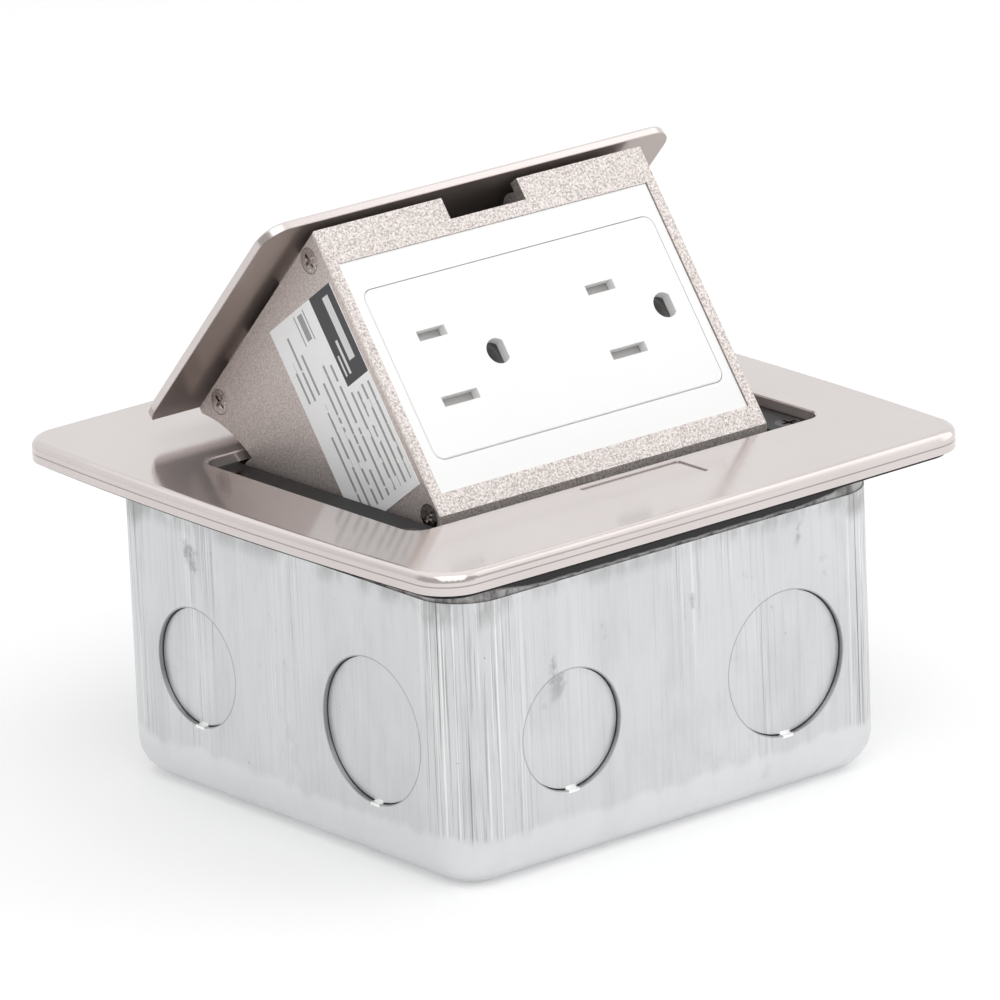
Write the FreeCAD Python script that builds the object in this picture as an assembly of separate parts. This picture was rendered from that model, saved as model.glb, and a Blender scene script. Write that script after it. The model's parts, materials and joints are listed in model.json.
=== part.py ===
"""Pop-up floor socket box: a steel back box, a flush cover frame, and a sprung
socket housing that swings up out of the cover when its button is pressed.

Millimetres. Origin at the middle of the box's underside. +X runs to the right
along the socket side, +Y to the hinge side, +Z up. The housing is drawn closed,
with its lid flush in the cover, and is then turned up to its rest position.
"""
import FreeCAD, Part
import math
import os

V = FreeCAD.Vector

# ---------------------------------------------------------------- driving sizes
# back box, drawn from sheet
BOX_W = 100.0
BOX_D = 100.0
BOX_H = 53.3
BOX_WALL = 1.5
BOX_CORNER_R = 9.5
BOX_BASE_R = 7.5
KNOCKOUT_SMALL_D = 22.2
KNOCKOUT_LARGE_D = 27.0
KNOCKOUT_Z = 25.5
KNOCKOUT_OFFSET = 25.0
KNOCKOUT_GAP = 0.2
KNOCKOUT_SINK = 0.9
KNOCKOUT_TAB_W = 2.6
BASE_HOLE_SPACING = 60.0
BASE_HOLE_D = 5.0
EARTH_HOLE_X = 0.0
EARTH_HOLE_Y = 28.0
EARTH_SCREW_R = 1.75
EARTH_HEAD_R = 4.0
EARTH_HEAD_T = 2.4
EARTH_FLANGE_R = 4.8
EARTH_FLANGE_T = 0.8

# cover frame, gasket and the collar under it
COLLAR_H = 5.9
COLLAR_INSET = 0.3
COLLAR_T = 3.7
GASKET_T = 2.8
GASKET_INSET = 1.6
PLATE_T = 2.0
FRAME_LAP = 11.0
FRAME_SIDE_BOW = 2.2
FRAME_END_BOW = 0.5
FRAME_CORNER_R = 8.0
FRAME_LIP_DROP = 3.8
FRAME_LIP_T = 1.3
FRAME_EDGE_R = 1.5
OPENING_CHAMFER = 0.25
LID_OVERHANG = 9.5
OPENING_FRONT_Y = -36.5
OPENING_REAR_Y = 24.2
OPENING_R = 3.6

# lid and hinge
LID_T = 1.8
LID_GAP = 0.5
LID_CORNER_R = 5.0
LID_EDGE_R = 0.5
HINGE_Y = 36.9
HINGE_DROP = 19.7
POP_ANGLE = 48.0
SWEEP_GAP = 0.6
ROD_R = 2.0
ROD_FIT = 0.05

# socket housing
INSERT_BORDER = 2.3
CHEEK_T = 2.3
CHEEK_CHAMFER = 0.25
FACE_LEAN = 12.4
FACE_FRONT_Y = -35.95
FACE_H = 57.5
STRIP_T = 2.2
STRIP_TOP_V = 56.0
BEVEL_L = 2.6
INSERT_BASE_V = 4.05
INSERT_H = 45.0
INSERT_T = 2.5
INSERT_SINK = 0.25
NOTCH_W = 17.4
NOTCH_DEPTH = 4.2

# receptacle: blade and earth spacing, outlet pitch and face are standard sizes
DECOR_W = 66.8
DECOR_H = 33.3
DECOR_R = 2.0
DECOR_V = 26.5
DECOR_GAP = 0.12
OUTLET_V = 26.2
OUTLET_PITCH = 38.9
OUTLET_SHIFT = 2.45
BLADE_SPACING = 12.7
EARTH_SPACING = 11.9
SLOT_H = 1.9
HOT_SLOT_L = 6.35
NEUTRAL_SLOT_L = 8.1
EARTH_R = 2.45
EARTH_FLAT = 0.72
STRAP_D = 7.1
STRAP_T = 1.2
SHUTTER_TRAVEL = 3.0

# release button and latch
WINDOW_W = 23.2
WINDOW_FRONT_Y = -46.6
WINDOW_REAR_Y = -38.0
BUTTON_GAP = 0.2
BUTTON_SINK = 0.3
BUTTON_TRAVEL = 1.5
TONGUE_W = 15.0
TONGUE_T = 2.0
TONGUE_TIP_Y = -33.8
TONGUE_DROP = 4.8

# support frame
SUPPORT_T = 2.0
SUPPORT_INSET = 3.0
SUPPORT_R = 6.0
SUPPORT_GAP = 0.35
SIDE_CLEAR = 1.2
LUG_T = 3.4
LUG_R = 5.5
FIXING_INSET = 5.6
FIXING_Y = (-30.5, 18.5)
FIXING_D = 3.5
FIXING_HEAD_R = 2.6
FIXING_HEAD_T = 0.9
EAR_DROP = 11.5
EAR_T = 1.5
EAR_HALF_W = 5.0
EAR_REACH = 3.8
EAR_LEG = 8.0
BOSS_R = 2.8
STUD_D = 3.0
NUT_AF = 5.5
NUT_T = 2.4

# ---------------------------------------------------------------- worked out
GASKET_Z = BOX_H + COLLAR_H
PLATE_Z = GASKET_Z + GASKET_T
TOP_Z = PLATE_Z + PLATE_T
LID_Z = TOP_Z - LID_T
INNER = DECOR_W / 2 + INSERT_BORDER
HALF = INNER + CHEEK_T
OPENING_W = 2 * (HALF + LID_OVERHANG)
HINGE_Z = TOP_Z - HINGE_DROP
TONGUE_Z = PLATE_Z - TONGUE_DROP
EAR_Z = PLATE_Z - EAR_DROP
FIXING_X = BOX_W / 2 - FIXING_INSET
LEAN = math.radians(FACE_LEAN)
SWEEP_R = math.hypot(HINGE_Y - OPENING_REAR_Y, TOP_Z - HINGE_Z) + SWEEP_GAP
FACE_Y = FACE_FRONT_Y + FACE_H * math.sin(LEAN)
FACE_Z = LID_Z - FACE_H * math.cos(LEAN)
INSERT_TOP_V = INSERT_BASE_V + INSERT_H
LID_REAR_Y = HINGE_Y - math.sqrt(SWEEP_R ** 2 - (TOP_Z - HINGE_Z) ** 2)
OUTLETS = {"left": OUTLET_SHIFT - OUTLET_PITCH / 2, "right": OUTLET_SHIFT + OUTLET_PITCH / 2}


# ---------------------------------------------------------------- helpers
def save(name, *solids):
    """Write one node; several solids stay separate."""
    shape = solids[0] if len(solids) == 1 else Part.makeCompound(list(solids))
    for solid in shape.Solids:
        if not solid.isValid() or solid.Volume <= 0:
            raise ValueError(name + " is not a sound solid")
    shape.exportStep("parts/%s.step" % name)


def block(x0, x1, y0, y1, z0, z1):
    return Part.makeBox(x1 - x0, y1 - y0, z1 - z0, V(x0, y0, z0))


def rod(centre, radius, length, axis):
    return Part.makeCylinder(radius, length, V(*centre), V(*axis))


def fuse(first, *others):
    return first.multiFuse(list(others)).removeSplitter()


def upright(shape):
    """The edges of a shape that stand along Z."""
    return [e for e in shape.Edges if len(e.Vertexes) == 2
            and math.hypot(e.Vertexes[0].X - e.Vertexes[1].X, e.Vertexes[0].Y - e.Vertexes[1].Y) < 1e-6]


def rounded_block(x0, x1, y0, y1, z0, z1, radius):
    body = block(x0, x1, y0, y1, z0, z1)
    return body.makeFillet(radius, upright(body))


def box_plan(inset, z0, z1, radius):
    """A block with the box's plan, inset all round."""
    w, d = BOX_W / 2 - inset, BOX_D / 2 - inset
    return rounded_block(-w, w, -d, d, z0, z1, radius)


def side_prism(outline, x0, x1):
    """A side outline of (y, z) points, pushed from x0 to x1."""
    points = [V(x0, y, z) for y, z in outline]
    face = Part.Face(Part.makePolygon(points + points[:1]))
    return face.extrude(V(x1 - x0, 0, 0))


def popped(shape):
    """Turn a piece drawn closed up to its rest position."""
    shape = shape.copy()
    shape.rotate(V(0, HINGE_Y, HINGE_Z), V(1, 0, 0), -POP_ANGLE)
    return shape


def on_face(shape):
    """Place a piece drawn on the socket face: X across, Y into the face, Z up the face."""
    shape = shape.copy()
    shape.rotate(V(0, 0, 0), V(1, 0, 0), FACE_LEAN)
    shape.translate(V(0, FACE_Y, FACE_Z))
    return popped(shape)


def face_point(depth, up):
    """The closed (y, z) of a point given by its depth behind the face and height up it."""
    y = FACE_Y + depth * math.cos(LEAN) - up * math.sin(LEAN)
    z = FACE_Z + depth * math.sin(LEAN) + up * math.cos(LEAN)
    return y, z


def about_hinge(radius, angle):
    """The closed (y, z) at a radius and angle round the hinge, in degrees from +Y."""
    a = math.radians(angle)
    return HINGE_Y + radius * math.cos(a), HINGE_Z + radius * math.sin(a)


def mirrored(shape):
    return shape.mirror(V(0, 0, 0), V(1, 0, 0))


def coil_path(radius, pitch, turns):
    """A coil about +Z as edges: half turns in tilted planes, which meet tangent to tangent."""
    rise = pitch / 4
    reach = math.hypot(radius, rise)
    edges = []
    for k in range(math.ceil(2 * turns)):
        sweep = math.pi * min(1, 2 * turns - k)
        side = 1 if k % 2 == 0 else -1
        centre = V(0, 0, rise * (2 * k + 1))
        along = V(side * radius, 0, -rise)
        across = V(0, side * reach, 0)
        stops = [centre + along * math.cos(t) + across * math.sin(t) for t in (0, sweep / 2, sweep)]
        edges.append(Part.Arc(*stops).toShape())
    return edges


def bent_wire(edges, wire_r):
    """Wire swept along edges that meet tangent to tangent, its section drawn six-sided."""
    path = Part.Wire(edges)
    first = edges[0]
    start = first.valueAt(first.FirstParameter)
    ring = Part.makeCircle(wire_r, start, first.tangentAt(first.FirstParameter))
    section = Part.makePolygon([ring.valueAt(k * math.pi / 3) for k in range(6)] + [ring.valueAt(0)])
    return path.makePipeShell([section], True, False)


# ---------------------------------------------------------------- back box
def box_shell(inset):
    """The outer or inner form of the drawn box, inset by a wall."""
    body = box_plan(inset, inset, BOX_H + inset, BOX_CORNER_R - inset)
    base = [e for e in body.Edges if max(v.Z for v in e.Vertexes) < inset + 1e-6]
    return body.makeFillet(BOX_BASE_R - inset, base)


def knockout(turn, offset, diameter):
    """The hole and the pressed-in disc, with its tab, on the side faced after a turn."""
    r = diameter / 2
    wall = -BOX_D / 2
    hole = rod((offset, wall - 1, KNOCKOUT_Z), r, BOX_WALL + 2, (0, 1, 0))
    disc = rod((offset, wall + KNOCKOUT_SINK, KNOCKOUT_Z), r - KNOCKOUT_GAP, BOX_WALL, (0, 1, 0))
    tab = block(offset - KNOCKOUT_TAB_W / 2, offset + KNOCKOUT_TAB_W / 2, wall + KNOCKOUT_SINK,
                wall + BOX_WALL, KNOCKOUT_Z - r - 0.5, KNOCKOUT_Z - r + 1.5)
    for piece in (hole, disc, tab):
        piece.rotate(V(0, 0, 0), V(0, 0, 1), turn)
    return hole, disc.fuse(tab)


def back_box():
    shell = box_shell(0).cut(box_shell(BOX_WALL))
    for turn in (0, 90, 180, 270):
        for offset, diameter in ((-KNOCKOUT_OFFSET, KNOCKOUT_SMALL_D), (KNOCKOUT_OFFSET, KNOCKOUT_LARGE_D)):
            hole, disc = knockout(turn, offset, diameter)
            shell = shell.cut(hole).fuse(disc)
    h = BASE_HOLE_SPACING / 2
    for x in (-h, h):
        for y in (-h, h):
            shell = shell.cut(rod((x, y, -1), BASE_HOLE_D / 2, BOX_WALL + 2, (0, 0, 1)))
    shell = shell.cut(rod((EARTH_HOLE_X, EARTH_HOLE_Y, -1), EARTH_SCREW_R, BOX_WALL + 2, (0, 0, 1)))
    return shell.removeSplitter()


def box_ears():
    """Four tapped angle tabs on the side walls, which take the frame's fixing screws."""
    wall = BOX_W / 2 - BOX_WALL
    ears = []
    for side in (-1, 1):
        for y in FIXING_Y:
            x0, x1 = sorted((side * (FIXING_X - EAR_REACH), side * wall))
            tab = block(x0, x1, y - EAR_HALF_W, y + EAR_HALF_W, EAR_Z, EAR_Z + EAR_T)
            u0, u1 = sorted((side * (wall - EAR_T), side * wall))
            leg = block(u0, u1, y - EAR_HALF_W, y + EAR_HALF_W, EAR_Z - EAR_LEG, EAR_Z + EAR_T)
            hole = rod((side * FIXING_X, y, EAR_Z - 1), FIXING_D / 2, EAR_T + 2, (0, 0, 1))
            ears.append(fuse(tab, leg).cut(hole))
    return ears


def earth_screw():
    """The hex-head earthing screw in the box's floor."""
    head = hexagon(EARTH_HOLE_X, EARTH_HOLE_Y, BOX_WALL + EARTH_FLANGE_T, EARTH_HEAD_R)
    head = head.extrude(V(0, 0, EARTH_HEAD_T))
    flange = rod((EARTH_HOLE_X, EARTH_HOLE_Y, BOX_WALL), EARTH_FLANGE_R, EARTH_FLANGE_T, (0, 0, 1))
    shank = rod((EARTH_HOLE_X, EARTH_HOLE_Y, 0.2), EARTH_SCREW_R, BOX_WALL, (0, 0, 1))
    return fuse(flange, head, shank)


# ---------------------------------------------------------------- cover frame
def bowed_outline(inset, z):
    """The cover's outline: two sides bowed out, two nearly straight ends, round corners."""
    w, d = BOX_W / 2 + FRAME_LAP - inset, BOX_D / 2 + FRAME_LAP - inset
    corners = [(-w, -d), (w, -d), (w, d), (-w, d)]
    across, along = w + FRAME_SIDE_BOW, d + FRAME_END_BOW
    mids = [(0, -along), (across, 0), (0, along), (-across, 0)]
    edges = []
    for i, mid in enumerate(mids):
        a, b = corners[i], corners[(i + 1) % 4]
        edges.append(Part.Arc(V(a[0], a[1], z), V(mid[0], mid[1], z), V(b[0], b[1], z)).toShape())
    return Part.Face(Part.Wire(edges))


def bowed_slab(inset, z0, z1):
    slab = bowed_outline(inset, z0).extrude(V(0, 0, z1 - z0))
    return slab.makeFillet(FRAME_CORNER_R - inset, upright(slab))


def lid_opening(grow, z0, z1):
    return rounded_block(-OPENING_W / 2 - grow, OPENING_W / 2 + grow, OPENING_FRONT_Y - grow,
                         OPENING_REAR_Y + grow, z0, z1, OPENING_R + grow)


def top_ring(grow, below):
    """The lid opening's outline as a wire, grown all round, at a depth below the cover's top."""
    slab = lid_opening(grow, TOP_Z - below, TOP_Z + 1)
    floor = [f for f in slab.Faces if max(v.Z for v in f.Vertexes) < TOP_Z - below + 1e-6]
    return floor[0].OuterWire


STUDS = [(-32.0, -42.5), (32.0, -42.5), (-26.0, 40.0), (26.0, 40.0)]


def cover_frame():
    """The visible plate with its turned-down rim, rounded top edge, opening and button window."""
    lip_z = TOP_Z - FRAME_LIP_DROP
    body = bowed_slab(0, lip_z, TOP_Z)
    top_edges = [e for e in body.Edges if min(v.Z for v in e.Vertexes) > TOP_Z - 1e-6]
    body = body.makeFillet(FRAME_EDGE_R, top_edges)
    body = body.cut(bowed_slab(FRAME_LIP_T, lip_z - 1, PLATE_Z))
    body = body.cut(lid_opening(0, lip_z - 1, TOP_Z + 1))
    lead = Part.makeLoft([top_ring(0, OPENING_CHAMFER), top_ring(OPENING_CHAMFER, 0)], True, True)
    body = body.cut(lead)
    window = block(-WINDOW_W / 2, WINDOW_W / 2, WINDOW_FRONT_Y, WINDOW_REAR_Y, PLATE_Z - 1, TOP_Z + 1)
    body = body.cut(window.makeFillet(0.8, upright(window)))
    length = SUPPORT_T + NUT_T + 0.8
    studs = [rod((x, y, PLATE_Z - length), STUD_D / 2, length, (0, 0, 1)) for x, y in STUDS]
    return fuse(body, *studs)


def gasket():
    """The flat foam seal between the cover and the collar."""
    ring = bowed_slab(GASKET_INSET, GASKET_Z, PLATE_Z)
    return ring.cut(box_plan(SUPPORT_INSET - SUPPORT_GAP, GASKET_Z - 1, PLATE_Z + 1, SUPPORT_R + SUPPORT_GAP))


# ---------------------------------------------------------------- support frame
LATCH_WALL_X = WINDOW_W / 2 + 1.9
LATCH_FLOOR_Z = TONGUE_Z - 4.6
RIB_X = (4.3, 8.4)
LATCH_HOUSING_T = 1.4
LATCH_WALL_T = 1.0


def collar():
    """The ring that stands on the box's rim and carries the gasket, open where the latch slides."""
    ring = box_plan(COLLAR_INSET, BOX_H, GASKET_Z, BOX_CORNER_R - COLLAR_INSET)
    neck = box_plan(SUPPORT_INSET, GASKET_Z, PLATE_Z - SUPPORT_T, SUPPORT_R)
    body = fuse(ring, neck)
    body = body.cut(box_plan(COLLAR_INSET + COLLAR_T, BOX_H - 1, PLATE_Z, SUPPORT_R))
    front = -BOX_D / 2 + BOX_WALL + SUPPORT_GAP + LATCH_WALL_T
    return body.cut(block(-LATCH_WALL_X, LATCH_WALL_X, front, 0, BOX_H - 1, PLATE_Z))


def support_frame():
    """The moulded inner frame: collar, lid ledges, hinge lugs, fixing bosses and the latch housing."""
    half = BOX_D / 2 - SUPPORT_INSET
    z0 = PLATE_Z - SUPPORT_T
    gap_x = HALF + SIDE_CLEAR
    body = fuse(box_plan(SUPPORT_INSET, z0, PLATE_Z, SUPPORT_R), collar())
    body = body.cut(block(-gap_x, gap_x, OPENING_FRONT_Y - 0.8, OPENING_REAR_Y + 4.6, z0 - 1, PLATE_Z + 1))
    body = body.cut(block(-LATCH_WALL_X, LATCH_WALL_X, -half - 1, OPENING_FRONT_Y, z0 - 1, PLATE_Z + 1))
    # hinge lugs, one each side, tied to the ledges by a web
    for side in (-1, 1):
        x0, x1 = sorted((side * (HALF + SUPPORT_GAP), side * (HALF + SUPPORT_GAP + LUG_T)))
        eye = rod((x0, HINGE_Y, HINGE_Z), LUG_R, LUG_T, (1, 0, 0))
        web = block(x0, x1, HINGE_Y - LUG_R, HINGE_Y + LUG_R, HINGE_Z, z0)
        rear = HINGE_Y + LUG_R
        brace = side_prism([(rear, z0), (rear, HINGE_Z + 2), (half - 1.5, z0)], x0, x1)
        body = fuse(body, eye, web, brace)
    body = body.cut(rod((-BOX_W / 2, HINGE_Y, HINGE_Z), ROD_R, BOX_W, (1, 0, 0)))
    # tubular bosses that carry the fixing screws down to the box's ears
    for side in (-1, 1):
        for y in FIXING_Y:
            boss = rod((side * FIXING_X, y, EAR_Z + EAR_T), BOSS_R, z0 - EAR_Z - EAR_T, (0, 0, 1))
            body = fuse(body, boss)
    for side in (-1, 1):
        for y in FIXING_Y:
            centre = (side * FIXING_X, y, EAR_Z)
            body = body.cut(rod(centre, FIXING_D / 2, PLATE_Z - EAR_Z, (0, 0, 1)))
            body = body.cut(fixing_head(side * FIXING_X, y))
    for x, y in STUDS:
        body = body.cut(rod((x, y, z0 - 1), STUD_D / 2 + 0.1, SUPPORT_T + 2, (0, 0, 1)))
    for side in (-1, 1):
        leg = (side * SPRING_X, HINGE_Y - SPRING_COIL_R, z0 - 1)
        body = body.cut(rod(leg, SPRING_WIRE_R, SPRING_HOLE_DEPTH + 1, (0, 0, 1)))
    # latch housing: two walls, a floor, two rails and a front wall for the springs
    wall_t = LATCH_HOUSING_T
    front = -BOX_D / 2 + BOX_WALL + SUPPORT_GAP
    rear = OPENING_FRONT_Y - 0.8
    outer = LATCH_WALL_X + wall_t
    rim_z = GASKET_Z - 0.4
    walls = [block(LATCH_WALL_X, outer, front, rear, LATCH_FLOOR_Z, rim_z),
             block(-outer, -LATCH_WALL_X, front, rear, LATCH_FLOOR_Z, rim_z),
             block(LATCH_WALL_X, outer, -half, rear, rim_z, PLATE_Z),
             block(-outer, -LATCH_WALL_X, -half, rear, rim_z, PLATE_Z),
             block(-outer, outer, front, rear, LATCH_FLOOR_Z, LATCH_FLOOR_Z + wall_t),
             block(-outer, outer, front, front + LATCH_WALL_T, LATCH_FLOOR_Z, rim_z)]
    for low, high in (RIB_X, (-RIB_X[1], -RIB_X[0])):
        walls.append(block(low, high, front, rear, LATCH_FLOOR_Z, TONGUE_Z - 0.1))
    return fuse(body, *walls)


def fixing_head(x, y):
    """The countersunk head of a fixing screw, flush with the ledge."""
    return Part.makeCone(FIXING_D / 2, FIXING_HEAD_R, FIXING_HEAD_T, V(x, y, PLATE_Z - FIXING_HEAD_T))


def fixing_screws():
    """Four countersunk screws from the lid ledges down into the box's ears."""
    screws = []
    for side in (-1, 1):
        for y in FIXING_Y:
            length = PLATE_Z - FIXING_HEAD_T - EAR_Z + 2
            shank = rod((side * FIXING_X, y, EAR_Z - 2), FIXING_D / 2, length, (0, 0, 1))
            screw = fuse(fixing_head(side * FIXING_X, y), shank)
            screws.append(cross_slot(screw, V(side * FIXING_X, y, PLATE_Z), 0.6))
    return screws


def cross_slot(screw, top, depth):
    """Cut a cross recess into a head that faces +Z."""
    for long_x, long_y in ((3.2, 0.7), (0.7, 3.2)):
        screw = screw.cut(block(top.x - long_x / 2, top.x + long_x / 2, top.y - long_y / 2,
                                top.y + long_y / 2, top.z - depth, top.z + 1))
    return screw


def hexagon(x, y, z, radius):
    corners = [V(x + radius * math.cos(k * math.pi / 3), y + radius * math.sin(k * math.pi / 3), z)
               for k in range(6)]
    return Part.Face(Part.makePolygon(corners + corners[:1]))


def hex_nut(x, y, z):
    nut = hexagon(x, y, z, NUT_AF / math.sqrt(3)).extrude(V(0, 0, NUT_T))
    return nut.cut(rod((x, y, z - 1), STUD_D / 2, NUT_T + 2, (0, 0, 1)))


def hinge_rod():
    """The headed rod that the housing turns on, held in the two lugs."""
    reach = HALF + SUPPORT_GAP + LUG_T
    shaft = rod((-reach - 0.8, HINGE_Y, HINGE_Z), ROD_R, 2 * reach + 0.8, (1, 0, 0))
    head = rod((-reach - 1.2, HINGE_Y, HINGE_Z), 3.4, 1.2, (1, 0, 0))
    tail = rod((reach, HINGE_Y, HINGE_Z), ROD_R, 1.8, (1, 0, 0))
    return fuse(shaft, head, tail)


def retaining_clip():
    """The push-on clip at the rod's far end."""
    reach = HALF + SUPPORT_GAP + LUG_T
    ring = rod((reach, HINGE_Y, HINGE_Z), 3.8, 0.8, (1, 0, 0))
    return ring.cut(rod((reach - 1, HINGE_Y, HINGE_Z), ROD_R, 3, (1, 0, 0)))


SPRING_WIRE_R = 0.6
SPRING_COIL_R = 3.3
SPRING_FULL_TURNS = 4
SPRING_X = 26.0
SPRING_START = 180.0
SPRING_LEG_ANGLE = 177.0
PEG_RADIUS = 15.5
PEG_ANGLE = 203.0
PEG_R = 1.5
PEG_L = 5.5
SPRING_HOLE_DEPTH = 1.0


def torsion_spring():
    """One torsion spring on the rod: a leg up into the support frame, a leg under the arm's peg."""
    pitch = 2 * SPRING_WIRE_R + 0.15
    turns = SPRING_FULL_TURNS + (SPRING_LEG_ANGLE - 90 - SPRING_START) / 360
    turned = coil_path(SPRING_COIL_R, pitch, turns)
    start = V(SPRING_COIL_R, 0, 0)
    back_leg_l = PLATE_Z - SUPPORT_T + SPRING_HOLE_DEPTH - HINGE_Z
    back_leg = Part.makeLine(start + V(0, -back_leg_l, 0), start)
    end = turned[-1].valueAt(turned[-1].LastParameter)
    ahead = turned[-1].tangentAt(turned[-1].LastParameter)
    front_leg = Part.makeLine(end, end + ahead * (PEG_RADIUS + PEG_R))
    spring = bent_wire([back_leg] + turned + [front_leg], SPRING_WIRE_R)
    across = FreeCAD.Rotation(V(0, -1, 0), V(0, 0, -1), V(1, 0, 0), "ZXY")
    spring.Placement = FreeCAD.Placement(V(SPRING_X, HINGE_Y, HINGE_Z), across)
    return spring


# ---------------------------------------------------------------- button and latch
WEDGE_HALF_W = 3.8
WEDGE_REAR_Y = -40.9
WEDGE_TIP_Z = TONGUE_Z - 0.6
WEDGE_H = TONGUE_T + 0.6


def release_button():
    """The flush press button, its keeper flange and the wedge that drives the latch."""
    g = BUTTON_GAP
    pad = block(-WINDOW_W / 2 + g, WINDOW_W / 2 - g, WINDOW_FRONT_Y + g, WINDOW_REAR_Y - g,
                PLATE_Z - 0.9, TOP_Z - BUTTON_SINK)
    pad = pad.makeFillet(0.6, upright(pad))
    keeper = block(-WINDOW_W / 2 - 1.3, WINDOW_W / 2 + 1.3, WINDOW_FRONT_Y + g, WINDOW_REAR_Y - g,
                   PLATE_Z - 0.95, PLATE_Z - 0.15)
    tip_y = WEDGE_REAR_Y - 0.6
    wedge = side_prism([(WEDGE_REAR_Y, PLATE_Z - 0.9), (WEDGE_REAR_Y, WEDGE_TIP_Z), (tip_y, WEDGE_TIP_Z),
                        (tip_y - WEDGE_H, WEDGE_TIP_Z + WEDGE_H), (tip_y - WEDGE_H, PLATE_Z - 0.9)],
                       -WEDGE_HALF_W, WEDGE_HALF_W)
    return fuse(pad, keeper, wedge)


LATCH_BAR_HALF_W = 12.2
LATCH_BAR_T = 1.6
LATCH_BAR_BACK = 1.3
LATCH_FRONT_Y = -45.4
LATCH_LEAD = 1.1
LATCH_SPRING_X = 10.4
LATCH_SPRING_R = 1.15
LATCH_SPRING_WIRE_R = 0.25
LATCH_SPRING_TURNS = 5


def latch_slide():
    """The sliding latch: tongue with a lead-in, a driven slot and a bar for its springs."""
    z0, z1 = TONGUE_Z, TONGUE_Z + TONGUE_T
    body = side_prism([(LATCH_FRONT_Y, z0), (TONGUE_TIP_Y, z0), (TONGUE_TIP_Y, z1 - LATCH_LEAD),
                       (TONGUE_TIP_Y - LATCH_LEAD, z1), (LATCH_FRONT_Y, z1)], -TONGUE_W / 2, TONGUE_W / 2)
    bar_y = OPENING_FRONT_Y - LATCH_BAR_BACK
    bar = block(-LATCH_BAR_HALF_W, LATCH_BAR_HALF_W, bar_y - LATCH_BAR_T, bar_y, z0, z1)
    # the wedge moves the slot's sloped front wall; its rear wall keeps clear over the travel
    drive_y = WEDGE_REAR_Y - 0.6 - (TONGUE_Z - WEDGE_TIP_Z) - 0.25
    slot_rear = WEDGE_REAR_Y + BUTTON_TRAVEL + 0.5
    slot = side_prism([(slot_rear, z0 - 1), (drive_y + 1, z0 - 1), (drive_y - TONGUE_T - 1, z1 + 1),
                       (slot_rear, z1 + 1)], -WEDGE_HALF_W - 0.3, WEDGE_HALF_W + 0.3)
    return fuse(body, bar).cut(slot)


def latch_spring(side):
    """A compression spring between the latch housing's front wall and the latch's bar."""
    front = -BOX_D / 2 + BOX_WALL + SUPPORT_GAP + LATCH_WALL_T
    bar_y = OPENING_FRONT_Y - LATCH_BAR_BACK - LATCH_BAR_T
    length = bar_y - front - 2 * LATCH_SPRING_WIRE_R - 0.1
    coil = coil_path(LATCH_SPRING_R, length / LATCH_SPRING_TURNS, LATCH_SPRING_TURNS)
    spring = bent_wire(coil, LATCH_SPRING_WIRE_R)
    spring.rotate(V(0, 0, 0), V(1, 0, 0), -90)
    spring.translate(V(side * LATCH_SPRING_X, front, TONGUE_Z + TONGUE_T / 2))
    spring.translate(V(0, front - spring.optimalBoundingBox(False).YMin, 0))
    return spring


# ---------------------------------------------------------------- lid and housing
LID_STUD_X = INNER - 4.2
LID_STUDS = [(-LID_STUD_X, -22.0), (LID_STUD_X, -22.0), (-LID_STUD_X, 2.0), (LID_STUD_X, 2.0)]
TAB_T = 1.8
TAB_HALF_W = 4.5
TAB_REACH = 3.4
RISER_T = 1.0
RISER_H = 5.0
SCREW_R = 1.25
SCREW_HEAD_R = 2.3
TOP_CHANNEL = (4.4, 52.2, 2.6)
BASE_CHANNEL = (3.1, 1.3, 2.4)
REAR_BAR = (12.0, LID_Z - 4.6)
REAR_BAR_HALF = 3.2
CHEEK_SCREWS = {"top": face_point(*TOP_CHANNEL[:2]), "rear": REAR_BAR,
                "base": face_point(*BASE_CHANNEL[:2])}


def lid():
    """The flush lid, its hinge edge cut back on the swing's radius, with four weld studs."""
    half = OPENING_W / 2 - LID_GAP
    front = OPENING_FRONT_Y + LID_GAP
    plate = rounded_block(-half, half, front, LID_REAR_Y, LID_Z, TOP_Z, LID_CORNER_R)
    top = [e for e in plate.Edges if min(v.Z for v in e.Vertexes) > TOP_Z - 1e-6]
    plate = plate.makeFillet(LID_EDGE_R, top)
    clear = rod((-half - 1, HINGE_Y, HINGE_Z), SWEEP_R, 2 * half + 2, (1, 0, 0))
    plate = plate.cut(clear)
    length = TAB_T + NUT_T + 0.6
    studs = [rod((x, y, LID_Z - length), STUD_D / 2, length, (0, 0, 1)) for x, y in LID_STUDS]
    return popped(fuse(plate, *studs))


FOOT_L = 10.0
BELLY = (6.0, LID_Z - 40.2)
ARM_LOW = (16.0, HINGE_Z - 9.3)
EYE_R = 5.2
CREST_DROP = 1.307


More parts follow.
